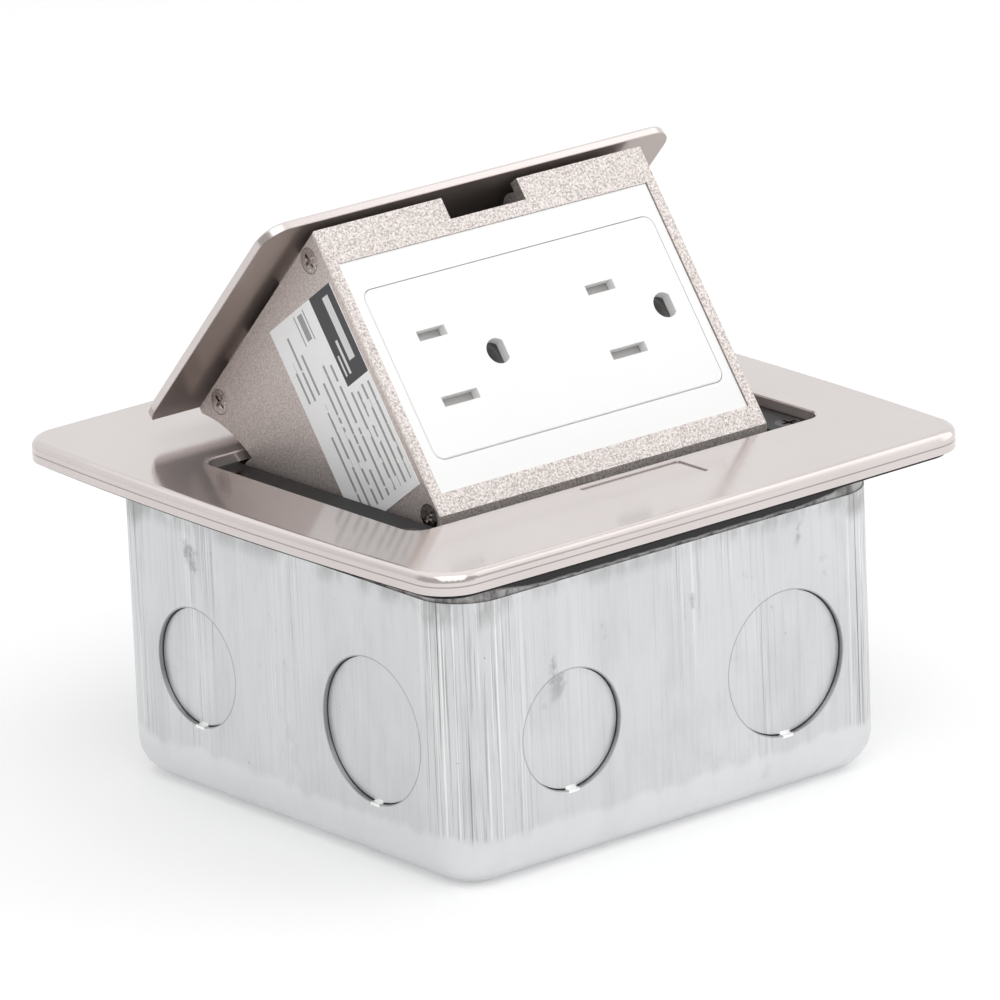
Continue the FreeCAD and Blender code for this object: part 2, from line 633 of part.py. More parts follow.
def cheek_outline():
    """The side plate's closed outline, as edges from the lid round to the hinge eye and back."""
    bevel = math.radians(POP_ANGLE - 90)
    toe = face_point(0, 0)
    heel = (toe[0] + BEVEL_L * math.cos(bevel), toe[1] + BEVEL_L * math.sin(bevel))
    foot = (heel[0] + FOOT_L, heel[1])
    eye_low = about_hinge(EYE_R, 262)
    eye_back = about_hinge(EYE_R, 0)
    eye_high = about_hinge(EYE_R, 95)
    notch = about_hinge(SWEEP_R, 177)
    rise = about_hinge(SWEEP_R, 158)
    top = face_point(0, STRIP_TOP_V)
    crest_z = top[1] - CREST_DROP
    crest = (HINGE_Y - math.sqrt(SWEEP_R ** 2 - (crest_z - HINGE_Z) ** 2), crest_z)
    corner = (crest[0] - 0.3, top[1])
    line = [top, toe, heel, foot, BELLY, ARM_LOW, eye_low]
    at = lambda p: V(0, p[0], p[1])
    edges = [Part.makeLine(at(a), at(b)) for a, b in zip(line, line[1:])]
    edges.append(Part.Arc(at(eye_low), at(eye_back), at(eye_high)).toShape())
    edges.append(Part.makeLine(at(eye_high), at(notch)))
    edges.append(Part.Arc(at(notch), at(rise), at(crest)).toShape())
    edges.append(Part.makeLine(at(crest), at(corner)))
    edges.append(Part.makeLine(at(corner), at(line[0])))
    return Part.Face(Part.Wire(edges))


def cheek():
    """The left side plate with its lid tabs, screw seats, spring peg and hinge bore."""
    plate = cheek_outline().extrude(V(CHEEK_T, 0, 0))
    rim = [e for e in plate.Edges if max(v.X for v in e.Vertexes) < 1e-6]
    plate = plate.makeChamfer(CHEEK_CHAMFER, rim)
    plate.translate(V(-HALF, 0, 0))
    tabs = []
    for y in (LID_STUDS[0][1], LID_STUDS[2][1]):
        y0, y1 = y - TAB_HALF_W, y + TAB_HALF_W
        tabs.append(block(-INNER, LID_STUDS[0][0] + TAB_REACH, y0, y1, LID_Z - TAB_T, LID_Z))
        tabs.append(block(-INNER, -INNER + RISER_T, y0, y1, LID_Z - RISER_H, LID_Z))
    peg = rod((-INNER, *about_hinge(PEG_RADIUS, PEG_ANGLE)), PEG_R, PEG_L, (1, 0, 0))
    plate = fuse(plate, *tabs, peg)
    plate = plate.cut(rod((-HALF - 1, HINGE_Y, HINGE_Z), ROD_R + ROD_FIT, 9, (1, 0, 0)))
    for y, z in CHEEK_SCREWS.values():
        plate = plate.cut(rod((-HALF - 1, y, z), SCREW_R, 9, (1, 0, 0)))
        plate = plate.cut(rod((-HALF - 1, y, z), SCREW_HEAD_R + 0.1, 2.1, (1, 0, 0)))
    for y in (LID_STUDS[0][1], LID_STUDS[2][1]):
        plate = plate.cut(rod((LID_STUDS[0][0], y, LID_Z - 5), STUD_D / 2 + 0.1, 6, (0, 0, 1)))
    return plate


def cheek_screws():
    """Three flat-head screws through the left cheek into the cross bars."""
    screws = []
    for y, z in CHEEK_SCREWS.values():
        head = rod((-HALF + 0.05, y, z), SCREW_HEAD_R, 1.05, (1, 0, 0))
        shank = rod((-HALF + 1.0, y, z), SCREW_R, 7.0, (1, 0, 0))
        screw = fuse(head, shank)
        for long_y, long_z in ((2.8, 0.6), (0.6, 2.8)):
            screw = screw.cut(block(-HALF - 1, -HALF + 0.6, y - long_y / 2, y + long_y / 2,
                                    z - long_z / 2, z + long_z / 2))
        screws.append(screw)
    return screws


def bar_screw_holes(bar, key):
    y, z = CHEEK_SCREWS[key]
    for x in (-INNER - 1, INNER - 6.1):
        bar = bar.cut(rod((x, y, z), SCREW_R, 7.1, (1, 0, 0)))
    return bar


def closed_from_face(shape):
    shape.rotate(V(0, 0, 0), V(1, 0, 0), FACE_LEAN)
    shape.translate(V(0, FACE_Y, FACE_Z))
    return shape


STRAP_SCREW_X = 24.0
STRAP_SCREW_R = 1.25
STRAP_BOSS_R = 2.3
STRAP_HEAD_R = 2.2
STRAP_HEAD_T = 1.4
STRAP_TOP_V = 54.4
STRAP_BASE_V = 0.6
STRAP_BOSS_V = {"top": 52.2, "base": 1.5}


def strip_bosses(key):
    length = STRAP_D - STRIP_T + 0.5
    return [rod((s * STRAP_SCREW_X, STRIP_T - 0.5, STRAP_BOSS_V[key]), STRAP_BOSS_R, length, (0, 1, 0))
            for s in (-1, 1)]


def face_top_strip():
    """The upper face bar, notched for the latch, with a screw channel and strap bosses."""
    plate = block(-INNER, INNER, 0, STRIP_T, INSERT_TOP_V + 0.05, STRIP_TOP_V)
    depth, up, radius = TOP_CHANNEL
    channel = rod((-INNER, depth, up), radius, 2 * INNER, (1, 0, 0))
    web = block(-INNER, INNER, STRIP_T - 0.5, depth, up - radius * 0.8, up + radius * 0.8)
    bar = fuse(plate, channel, web, *strip_bosses("top"))
    notch = block(-NOTCH_W / 2, NOTCH_W / 2, -1, STRIP_T, STRIP_TOP_V - NOTCH_DEPTH, STRIP_TOP_V + 1)
    pocket = block(-NOTCH_W / 2, NOTCH_W / 2, STRIP_T - 0.01, 9.5, INSERT_TOP_V, STRIP_TOP_V + 1)
    bar = bar.cut(notch).cut(pocket)
    bar = drill_strap_holes(bar, "top")
    return popped(bar_screw_holes(closed_from_face(bar), "top"))


LEG_D = 9.0
LEG_T = 2.0


def face_base_strip():
    """The lower face bar with its bevelled toe, floor leg, screw channel and strap bosses."""
    bevel = math.radians(POP_ANGLE - FACE_LEAN - 90)
    heel = (BEVEL_L * math.cos(bevel), BEVEL_L * math.sin(bevel))
    leg = math.tan(LEAN)
    leg_v = heel[1] - (LEG_D - heel[0]) * leg
    outline = [(0, INSERT_BASE_V - 0.05), (0, 0), heel, (LEG_D, leg_v),
               (LEG_D, leg_v + LEG_T), (STRIP_T, 1.6), (STRIP_T, INSERT_BASE_V - 0.05)]
    bar = side_prism(outline, -INNER, INNER)
    depth, up, radius = BASE_CHANNEL
    channel = rod((-INNER, depth, up), radius, 2 * INNER, (1, 0, 0))
    bar = fuse(bar, channel, *strip_bosses("base"))
    below = side_prism([(-1, heel[1] - LEG_D), (-1, -0.001), (0, 0), heel, (LEG_D, leg_v),
                        (LEG_D, heel[1] - LEG_D)], -INNER - 1, INNER + 1)
    bar = drill_strap_holes(bar.cut(below), "base")
    return popped(bar_screw_holes(closed_from_face(bar), "base"))


def drill_strap_holes(bar, key):
    for s in (-1, 1):
        start = (s * STRAP_SCREW_X, STRIP_T + 0.6, STRAP_BOSS_V[key])
        bar = bar.cut(rod(start, STRAP_SCREW_R, STRAP_D + 2, (0, 1, 0)))
    return bar


def rear_bar():
    """The cross bar under the lid's hinge side."""
    y, z = CHEEK_SCREWS["rear"]
    bar = block(-INNER, INNER, y - REAR_BAR_HALF, y + REAR_BAR_HALF, z - REAR_BAR_HALF, z + REAR_BAR_HALF)
    long_edges = [e for e in bar.Edges if abs(e.Vertexes[0].X - e.Vertexes[-1].X) > 1]
    return popped(bar_screw_holes(bar.makeFillet(0.8, long_edges), "rear"))


def insert_plate():
    """The white plate that fills the face round the receptacle."""
    x = INNER - 0.1
    plate = rounded_block(-x, x, INSERT_SINK, INSERT_SINK + INSERT_T, INSERT_BASE_V, INSERT_TOP_V, 0.2)
    hole = decor_block(DECOR_GAP, -1, STRAP_D)
    rim = decor_block(DECOR_GAP + 1.2, INSERT_SINK + INSERT_T - 0.1, STRAP_D)
    plate = fuse(plate, rim).cut(hole)
    return on_face(plate)


def decor_block(grow, d0, d1):
    """A block with the receptacle face's rounded outline."""
    w, h = DECOR_W / 2 + grow, DECOR_H / 2 + grow
    body = block(-w, w, d0, d1, DECOR_V - h, DECOR_V + h)
    along = [e for e in body.Edges if abs(e.Vertexes[0].Y - e.Vertexes[-1].Y) > 0.5]
    return body.makeFillet(DECOR_R + grow, along)


# ---------------------------------------------------------------- receptacle
FACE_WALL = 2.2
CAVITY_W = DECOR_W - 3.4
CAVITY_H = DECOR_H - 3.4
SHUTTER_W = 10.4
SHUTTER_H = 20.4
SHUTTER_D = FACE_WALL + 0.15
SHUTTER_T = 1.5
SHUTTER_FIT = 0.15
SHUTTER_ROOM = 0.5
GUIDE_D = SHUTTER_D + SHUTTER_T + 0.15
BODY_W = 63.0
BODY_H = 29.6
BODY_BACK = 20.0
BACK_T = 4.0


def blade_x(centre):
    return centre - EARTH_SPACING / 2


def earth_x(centre):
    return centre + EARTH_SPACING / 2


def slot_cut(x, v, length, d0, d1, height=SLOT_H):
    return block(x - length / 2, x + length / 2, d0, d1, v - height / 2, v + height / 2)


def earth_cut(x, d0, d1):
    """The D-shaped earth opening, its flat on the side away from the blades."""
    hole = rod((x, d0, OUTLET_V), EARTH_R, d1 - d0, (0, 1, 0))
    reach = EARTH_R + 1
    keep = block(x - reach, x + EARTH_R * EARTH_FLAT, d0, d1, OUTLET_V - reach, OUTLET_V + reach)
    return hole.common(keep)


def shutter_pocket(centre, grow, travel):
    x = blade_x(centre)
    return (x - SHUTTER_W / 2 - grow, x + SHUTTER_W / 2 + grow,
            OUTLET_V - SHUTTER_H / 2 - grow, OUTLET_V + SHUTTER_H / 2 + grow + travel)


def receptacle_face():
    """The moulded face of the duplex receptacle with its slots and shutter tracks."""
    body = decor_block(0, 0.12, STRAP_D)
    rim = [e for e in body.Edges if max(v.Y for v in e.Vertexes) < 0.13]
    body = body.makeFillet(0.3, rim)
    cavity = block(-CAVITY_W / 2, CAVITY_W / 2, FACE_WALL, STRAP_D + 1,
                   DECOR_V - CAVITY_H / 2, DECOR_V + CAVITY_H / 2)
    body = body.cut(cavity)
    for centre in OUTLETS.values():
        x = blade_x(centre)
        body = body.cut(slot_cut(x, OUTLET_V + BLADE_SPACING / 2, HOT_SLOT_L, -1, 4))
        body = body.cut(slot_cut(x, OUTLET_V - BLADE_SPACING / 2, NEUTRAL_SLOT_L, -1, 4))
        body = body.cut(earth_cut(earth_x(centre), -1, 4))
    return on_face(body)


def shutter(centre):
    """The tamper-resisting slide that shuts both blade slots of one outlet."""
    x0, x1, v0, v1 = shutter_pocket(centre, 0, 0)
    plate = block(x0, x1, SHUTTER_D, SHUTTER_D + SHUTTER_T, v0, v1)
    for sign, length in ((1, HOT_SLOT_L), (-1, NEUTRAL_SLOT_L)):
        v = OUTLET_V + sign * BLADE_SPACING / 2 - SHUTTER_TRAVEL
        hole = slot_cut(blade_x(centre), v, length + 0.6, SHUTTER_D - 1, SHUTTER_D + 3, SLOT_H + 0.5)
        plate = plate.cut(hole)
    return on_face(plate)


LEAF_SPRING_T = 0.25
LEAF_SPRING_HALF = 4.0


def shutter_spring(centre):
    """A folded leaf that pushes the slide back over the slots."""
    x, top = blade_x(centre), OUTLET_V + SHUTTER_H / 2 + 0.05
    leaf, half = LEAF_SPRING_T, LEAF_SPRING_HALF
    rise = SHUTTER_TRAVEL + SHUTTER_ROOM
    depth = SHUTTER_D + 0.2
    outline = [V(x - half, depth, top), V(x - half, depth, top + leaf), V(x, depth, top + rise),
               V(x + half, depth, top + leaf), V(x + half, depth, top), V(x, depth, top + rise - leaf)]
    face = Part.Face(Part.makePolygon(outline + outline[:1]))
    return on_face(face.extrude(V(0, SHUTTER_T - 0.4, 0)))


HOT_V = OUTLET_V + BLADE_SPACING / 2
NEUTRAL_V = OUTLET_V - BLADE_SPACING / 2
POCKET_D = 9.0
BUS_D = 17.5
BUS_T = 0.8
LEAF_T = 0.6
LEAF_GAP = 1.6
LEAF_HALF_W = 3.6
BUS_REACH = 4.2
BUS_HALF_H = 2.0
EARTH_POCKET_HALF = 3.2
EARTH_BAR_REACH = (3.4, 2.6)
SLEEVE_R = 2.7
SLEEVE_BORE_R = 2.15


def bus_span():
    xs = [blade_x(c) for c in OUTLETS.values()]
    return min(xs) - BUS_REACH, max(xs) + BUS_REACH


def blade_contact(v):
    """A bus strip with a pair of sprung leaves behind each blade slot."""
    x0, x1 = bus_span()
    pieces = [block(x0, x1, BUS_D, BUS_D + BUS_T, v - BUS_HALF_H, v + BUS_HALF_H)]
    for centre in OUTLETS.values():
        x = blade_x(centre)
        for s in (-1, 1):
            a, b = sorted((v + s * LEAF_GAP / 2, v + s * (LEAF_GAP / 2 + LEAF_T)))
            pieces.append(block(x - LEAF_HALF_W, x + LEAF_HALF_W, POCKET_D + 0.6, BUS_D + 0.1, a, b))
    return on_face(fuse(*pieces))


def earth_contact():
    """The earth strip with a split sleeve behind each earth opening."""
    xs = [earth_x(c) for c in OUTLETS.values()]
    bar = block(min(xs) - EARTH_BAR_REACH[0], max(xs) + EARTH_BAR_REACH[1], BUS_D, BUS_D + BUS_T,
                OUTLET_V - EARTH_POCKET_HALF, OUTLET_V + EARTH_POCKET_HALF)
    pieces = [bar]
    for x in xs:
        sleeve = rod((x, POCKET_D + 0.6, OUTLET_V), SLEEVE_R, BUS_D - POCKET_D - 0.5, (0, 1, 0))
        sleeve = sleeve.cut(rod((x, POCKET_D, OUTLET_V), SLEEVE_BORE_R, BUS_D - POCKET_D, (0, 1, 0)))
        split = block(x - 0.4, x + 0.4, POCKET_D, BUS_D - 1, OUTLET_V, OUTLET_V + 4)
        pieces.append(sleeve.cut(split))
    return on_face(fuse(*pieces))


TERMINAL_X = (-14.0, 14.0)
TERMINAL_D = 13.4
TERMINAL_R = 1.6
TERMINAL_HEAD_R = 3.4
TERMINAL_HEAD_T = 2.0
EARTH_TERMINAL_HEAD_R = 3.0
EARTH_TERMINAL_HEAD_T = 1.8


def receptacle_body():
    """The moulded body: shutter tracks in front, contact pockets open to the back."""
    front = block(-CAVITY_W / 2 + 0.1, CAVITY_W / 2 - 0.1, GUIDE_D, STRAP_D, DECOR_V - CAVITY_H / 2 + 0.1,
                  DECOR_V + CAVITY_H / 2 - 0.1)
    rear = block(-BODY_W / 2, BODY_W / 2, STRAP_D, BODY_BACK, DECOR_V - BODY_H / 2, DECOR_V + BODY_H / 2)
    body = fuse(front, rear)
    x0, x1 = bus_span()
    for v, length in ((HOT_V, HOT_SLOT_L), (NEUTRAL_V, NEUTRAL_SLOT_L)):
        body = body.cut(block(x0 - 0.2, x1 + 0.2, POCKET_D, BODY_BACK + 1, v - BUS_HALF_H, v + BUS_HALF_H))
        for centre in OUTLETS.values():
            way = slot_cut(blade_x(centre), v, length + 0.2, GUIDE_D - 1, POCKET_D + 1, SLOT_H + 0.1)
            body = body.cut(way)
    xs = [earth_x(c) for c in OUTLETS.values()]
    body = body.cut(block(min(xs) - EARTH_BAR_REACH[0] - 0.2, max(xs) + EARTH_BAR_REACH[1] + 0.2, POCKET_D,
                          BODY_BACK + 1, OUTLET_V - EARTH_POCKET_HALF, OUTLET_V + EARTH_POCKET_HALF))
    for x in xs:
        body = body.cut(rod((x, GUIDE_D - 1, OUTLET_V), EARTH_R + 0.1, POCKET_D, (0, 1, 0)))
    for s in (-1, 1):
        side = DECOR_V + s * BODY_H / 2
        for x in TERMINAL_X:
            body = body.cut(rod((x, TERMINAL_D, side - s * 4.0), TERMINAL_R, 5, (0, 0, s)))
    body = body.cut(rod((BODY_W / 2 - 0.8, TERMINAL_D, OUTLET_V), TERMINAL_R, 5, (1, 0, 0)))
    # tracks that steer the slides and leave room for their springs
    for centre in OUTLETS.values():
        a, b, c, d = shutter_pocket(centre, SHUTTER_FIT, SHUTTER_TRAVEL + SHUTTER_ROOM - 0.1)
        low = max(c - 1.0, DECOR_V - CAVITY_H / 2 + 0.2)
        high = min(d + 0.8, DECOR_V + CAVITY_H / 2 - 0.2)
        wall = block(a - 1.0, b + 1.0, FACE_WALL + 0.05, GUIDE_D + 0.1, low, high)
        body = fuse(body, wall.cut(block(a, b, 0, GUIDE_D, c, d)))
    return on_face(body)


def receptacle_back():
    """The back cover that closes the contact pockets."""
    cover = block(-BODY_W / 2, BODY_W / 2, BODY_BACK, BODY_BACK + BACK_T,
                  DECOR_V - BODY_H / 2, DECOR_V + BODY_H / 2)
    back = [e for e in cover.Edges if min(v.Y for v in e.Vertexes) > BODY_BACK + BACK_T - 1e-6]
    return on_face(cover.makeFillet(1.2, back))


def mounting_strap():
    """The steel strap that holds the receptacle to the two face bars."""
    half = INNER - 1.2
    plate = block(-half, half, STRAP_D, STRAP_D + STRAP_T, STRAP_BASE_V, STRAP_TOP_V)
    inner_w, inner_h = BODY_W / 2 + 0.1, BODY_H / 2 + 0.1
    plate = plate.cut(block(-inner_w, inner_w, 0, 20, DECOR_V - inner_h, DECOR_V + inner_h))
    plate = plate.cut(block(-NOTCH_W / 2 - 1, NOTCH_W / 2 + 1, 0, 20, INSERT_TOP_V - 0.5, STRAP_TOP_V + 1))
    for v in STRAP_BOSS_V.values():
        for s in (-1, 1):
            plate = plate.cut(rod((s * STRAP_SCREW_X, 0, v), STRAP_SCREW_R, 20, (0, 1, 0)))
    return on_face(plate)


def strap_screws():
    """Four pan-head screws that hold the strap to the face bars."""
    back = STRAP_D + STRAP_T
    screws = []
    for v in STRAP_BOSS_V.values():
        for s in (-1, 1):
            head = rod((s * STRAP_SCREW_X, back, v), STRAP_HEAD_R, STRAP_HEAD_T, (0, 1, 0))
            length = back - STRIP_T - 0.9
            shank = rod((s * STRAP_SCREW_X, STRIP_T + 0.9, v), STRAP_SCREW_R, length, (0, 1, 0))
            screws.append(on_face(fuse(head, shank)))
    return screws


def terminal_screws(side):
    """Two binding screws on one long side of the receptacle."""
    face = DECOR_V + side * BODY_H / 2
    screws = []
    for x in TERMINAL_X:
        head = rod((x, TERMINAL_D, face), TERMINAL_HEAD_R, TERMINAL_HEAD_T, (0, 0, side))
        shank = rod((x, TERMINAL_D, face - side * 3.6), TERMINAL_R, 3.6, (0, 0, side))
        slot = block(x - 4, x + 4, TERMINAL_D - 0.5, TERMINAL_D + 0.5,
                     min(face + side * 1.2, face + side * 3), max(face + side * 1.2, face + side * 3))
        screws.append(on_face(fuse(head, shank).cut(slot)))
    return screws


def earth_terminal():
    """The green earthing screw on the receptacle's end."""
    end = BODY_W / 2
    head = rod((end, TERMINAL_D, OUTLET_V), EARTH_TERMINAL_HEAD_R, EARTH_TERMINAL_HEAD_T, (1, 0, 0))
    shank = rod((end - 0.8, TERMINAL_D, OUTLET_V), TERMINAL_R, 0.8, (1, 0, 0))
    return on_face(fuse(head, shank))


LABEL_L = 39.6
LABEL_W = 21.8
LABEL_MARGIN = 1.6
LABEL_START = 9.3
LABEL_T = 0.12


def label():
    """The bare rating label on the left cheek."""
    top = STRIP_TOP_V - LABEL_START
    return on_face(block(-HALF - LABEL_T, -HALF, LABEL_MARGIN, LABEL_MARGIN + LABEL_W, top - LABEL_L, top))


# ---------------------------------------------------------------- build
def main():
    os.makedirs("parts", exist_ok=True)
    save("back_box", back_box())
    save("box_ears", *box_ears())
    save("earth_screw", earth_screw())
    save("cover_frame", cover_frame())
    save("gasket", gasket())
    save("support_frame", support_frame())
    save("fixing_screws", *fixing_screws())
    save("cover_nuts", *[hex_nut(x, y, PLATE_Z - SUPPORT_T - NUT_T) for x, y in STUDS])
    save("hinge_rod", hinge_rod())
    save("retaining_clip", retaining_clip())
    spring = torsion_spring()
    save("torsion_spring_right", spring)
    save("torsion_spring_left", mirrored(spring))

    save("release_button", release_button())
    save("latch_slide", latch_slide())
    save("latch_spring_left", latch_spring(-1))
    save("latch_spring_right", latch_spring(1))

    save("lid", lid())
    left = cheek()
    save("cheek_left", popped(left))
    save("cheek_right", popped(mirrored(left)))
    screws = cheek_screws()
    save("cheek_screws_left", *[popped(s) for s in screws])
    save("cheek_screws_right", *[popped(mirrored(s)) for s in screws])
    save("lid_nuts", *[popped(hex_nut(x, y, LID_Z - TAB_T - NUT_T)) for x, y in LID_STUDS])
    save("face_top_strip", face_top_strip())
    save("face_base_strip", face_base_strip())
    save("rear_bar", rear_bar())
    save("insert_plate", insert_plate())
    save("rating_label", label())

    save("receptacle_face", receptacle_face())
    save("receptacle_body", receptacle_body())
    save("receptacle_back", receptacle_back())
    save("mounting_strap", mounting_strap())
    save("strap_screws", *strap_screws())
    save("hot_contact", blade_contact(HOT_V))
    save("neutral_contact", blade_contact(NEUTRAL_V))
    save("earth_contact", earth_contact())
    save("hot_terminal_screws", *terminal_screws(1))
    save("neutral_terminal_screws", *terminal_screws(-1))
    save("earth_terminal_screw", earth_terminal())
    for name, centre in OUTLETS.items():
        save("shutter_" + name, shutter(centre))
        save("shutter_spring_" + name, shutter_spring(centre))


main()
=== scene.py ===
"""Looks for the pop-up floor socket box: finishes for every CAD node, printed label, studio and camera."""

import json
import math

import bpy
from mathutils import Matrix, Vector

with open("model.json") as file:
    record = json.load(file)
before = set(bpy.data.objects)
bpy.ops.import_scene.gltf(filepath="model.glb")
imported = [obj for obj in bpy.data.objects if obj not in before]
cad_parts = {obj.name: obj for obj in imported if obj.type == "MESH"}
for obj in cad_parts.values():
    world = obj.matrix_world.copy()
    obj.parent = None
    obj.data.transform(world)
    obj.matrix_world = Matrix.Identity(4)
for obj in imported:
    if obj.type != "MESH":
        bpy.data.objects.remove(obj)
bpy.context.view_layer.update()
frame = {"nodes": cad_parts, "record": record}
nodes = frame["nodes"]

MM = 0.001

# ---------------------------------------------------------------- studio sizes
CAMERA_AIM = Vector((0, 0, 30 * MM))
CAMERA_AZIMUTH = math.radians(38.81)
CAMERA_ELEVATION = math.radians(17.52)
CAMERA_ROLL = math.radians(-2.44)
CAMERA_DISTANCE = 1625.5 * MM
CAMERA_SLIDE = (-4.17 * MM, 19.98 * MM)
CAMERA_LENS = 323.56
CAMERA_SHIFT_X = 0.0244
FLOOR_SIZE = 6.0
BACKDROP_LEVEL = 1.0
ROOM_LEVEL = 0.55
FRONT_LEVEL = 0.40
FLOOR_GLOW = 0.22
# name, place, side of the square, power
LAMPS = (("key_lamp", (-0.6, -1.0, 1.3), 2.0, 16),
         ("fill_lamp", (1.2, -0.6, 0.7), 1.6, 6),
         ("top_lamp", (0.1, 0.5, 1.6), 2.2, 4))

# ---------------------------------------------------------------- places on the piece
FACE_FOOT = (-32.01 * MM, 63.66 * MM)
FACE_UP = (0.5821, 0.8131)
LID_UP = (0.7431, 0.6691)
LID_LOW = 74.96 * MM
BOX_TOP = 53.3 * MM
KNOCKOUT_Z = 25.5 * MM
LABEL_ROW = 0.95 * MM
ROW_SHIFT = 13.7 * MM
KNOCKOUTS = ((-25 * MM, 11.1 * MM), (25 * MM, 13.5 * MM))
PLATE_TOP = 64.0 * MM
# heights of the painted reflection, a thin dark band round the cover's lip
LIP_REFLECTION_BAND = (PLATE_TOP - 2.4 * MM, PLATE_TOP - 2.15 * MM)
WALL_FOOT = 8.5 * MM
WALL_START = 10.5 * MM
LABEL_BAR = 0.6
LABEL_LINES = ((31.6, 40.6, 17.2), (31.2, 43.6, 19.0), (31.4, 39.4, 20.8),
               (9.0, 28.0, 2.6), (9.0, 28.2, 4.6), (9.0, 27.6, 6.5), (9.0, 28.2, 8.3),
               (9.0, 34.6, 10.6), (9.0, 35.4, 12.7), (9.0, 32.8, 14.7),
               (9.0, 29.6, 17.0), (9.0, 24.0, 19.0))

# ---------------------------------------------------------------- tones and textures shared by finishes
PLATE_DARK = (0.62, 0.565, 0.55)
PLATE_LIGHT = (0.70, 0.645, 0.63)
PLATE_GRAIN = 5200
PLATE_GRAIN_DEPTH = 0.000003
SKIN_DEPTH = 0.000015
BLACK_SKIN = 1100
WHITE_SKIN = 1400


# ---------------------------------------------------------------- shader maths
class Wire:
    """One output of a material's nodes. Python's operators on it add Math nodes."""

    def __init__(self, tree, socket=None):
        self.tree = tree
        self.socket = socket

    def node(self, kind, settings=None, sockets=None, output=0):
        """Add a node: its settings first, then the values or links of its sockets."""
        made = self.tree.nodes.new("ShaderNode" + kind)
        for name, value in (settings or {}).items():
            setattr(made, name, value)
        for name, value in (sockets or {}).items():
            if isinstance(value, Wire):
                self.tree.links.new(value.socket, made.inputs[name])
            else:
                made.inputs[name].default_value = value
        return Wire(self.tree, made.outputs[output] if made.outputs else None)

    def math(self, operation, *values):
        return self.node("Math", {"operation": operation}, dict(enumerate(values)))

    def __add__(self, other):
        return self.math("ADD", self, other)

    def __sub__(self, other):
        return self.math("SUBTRACT", self, other)

    def __rsub__(self, other):
        return self.math("SUBTRACT", other, self)

    def __mul__(self, other):
        return self.math("MULTIPLY", self, other)

    def __truediv__(self, other):
        return self.math("DIVIDE", self, other)

    def __gt__(self, other):
        return self.math("GREATER_THAN", self, other)

    def __lt__(self, other):
        return self.math("LESS_THAN", self, other)

    def __abs__(self):
        return self.math("ABSOLUTE", self)

    __radd__ = __add__
    __rmul__ = __mul__


def least(a, b):
    return a.math("MINIMUM", a, b)


def most(a, b):
    return a.math("MAXIMUM", a, b)


def rise(value, low, high):
    """0 below low, 1 above high, and smooth between."""
    return value.node("MapRange", {"interpolation_type": "SMOOTHSTEP"},
                      {"Value": value, "From Min": low, "From Max": high})


def within(value, low, high):
    """1 between low and high, else 0."""
    return (value > low) * (value < high)


def here(paint):
    """The point on the piece, in metres, as x, y and z."""
    point = paint.node("TexCoord", output="Object")
    split = [paint.node("SeparateXYZ", {}, {"Vector": point}, axis) for axis in range(3)]
    return point, split


def stretched(point, scale):
    return point.node("Mapping", {}, {"Vector": point, "Scale": scale})


def noise(point, scale, detail=2.0, rough=0.5):
    return point.node("TexNoise", {}, {"Vector": point, "Scale": scale, "Detail": detail, "Roughness": rough})


def blend(factor, low, high):
    """A colour between low and high; each is a colour or a link."""
    whole = [c if isinstance(c, Wire) else (*c, 1) for c in (low, high)]
    return factor.node("Mix", {"data_type": "RGBA"}, {0: factor, 6: whole[0], 7: whole[1]}, 2)


def raised(height, depth, strength=1.0):
    """A bump from a height of 0 to 1, as deep as depth in metres."""
    return height.node("Bump", {}, {"Height": height, "Distance": depth, "Strength": strength})


def finish(name, recipe, metallic=0.0):
    """A material whose recipe gives the Principled sockets that it fills."""
    made = bpy.data.materials.new(name)
    made.use_nodes = True
    tree = made.node_tree
    tree.nodes.clear()
    paint = Wire(tree)
    sockets = {"Metallic": metallic}
    sockets.update(recipe(paint))
    surface = paint.node("BsdfPrincipled", {}, sockets)
    paint.node("OutputMaterial", {}, {"Surface": surface})
    return made


# ---------------------------------------------------------------- finishes
def satin_nickel(paint):
    """Plated cover: warm and almost mirror-like, with faint clouds and hairlines, and a painted reflection: a
    thin dark band round its lip.
    """
    point, (_, _, z) = here(paint)
    cloud = noise(point, 45, 3)
    grain = noise(point, PLATE_GRAIN, 1)
    hair = noise(stretched(point, (30, 900, 900)), 1.0, 2)
    colour = blend(cloud, PLATE_DARK, PLATE_LIGHT)
    # painted reflection: a thin dark band round the lip, standing for a dark surround mirrored in the rounded
    # edge
    lip_reflection = within(z, *LIP_REFLECTION_BAND)
    colour = blend(lip_reflection * 0.6, colour, (0.17, 0.145, 0.135))
    return {"Base Color": colour, "Roughness": 0.09 + cloud * 0.06 + rise(hair, 0.55, 0.8) * 0.05,
            "Normal": raised(grain, PLATE_GRAIN_DEPTH)}


def lid_nickel(paint):
    """The lid's plating: as the cover's, rougher on the underside, whose colour is painted darker as shade.
    """
    point, (_, y, z) = here(paint)
    cloud = noise(point, 45, 3)
    height = y * LID_UP[0] + z * LID_UP[1]
    # painted shade: below the lid's lower edge the colour is darkened; the roughness is raised there as well
    shaded_underside = rise(height, LID_LOW + 0.3 * MM, LID_LOW + 0.05 * MM)
    colour = blend(cloud, PLATE_DARK, PLATE_LIGHT)
    colour = blend(shaded_underside, colour, (0.44, 0.38, 0.355))
    return {"Base Color": colour, "Roughness": 0.14 + cloud * 0.06 + shaded_underside * 0.12,
            "Normal": raised(noise(point, PLATE_GRAIN, 1), PLATE_GRAIN_DEPTH)}


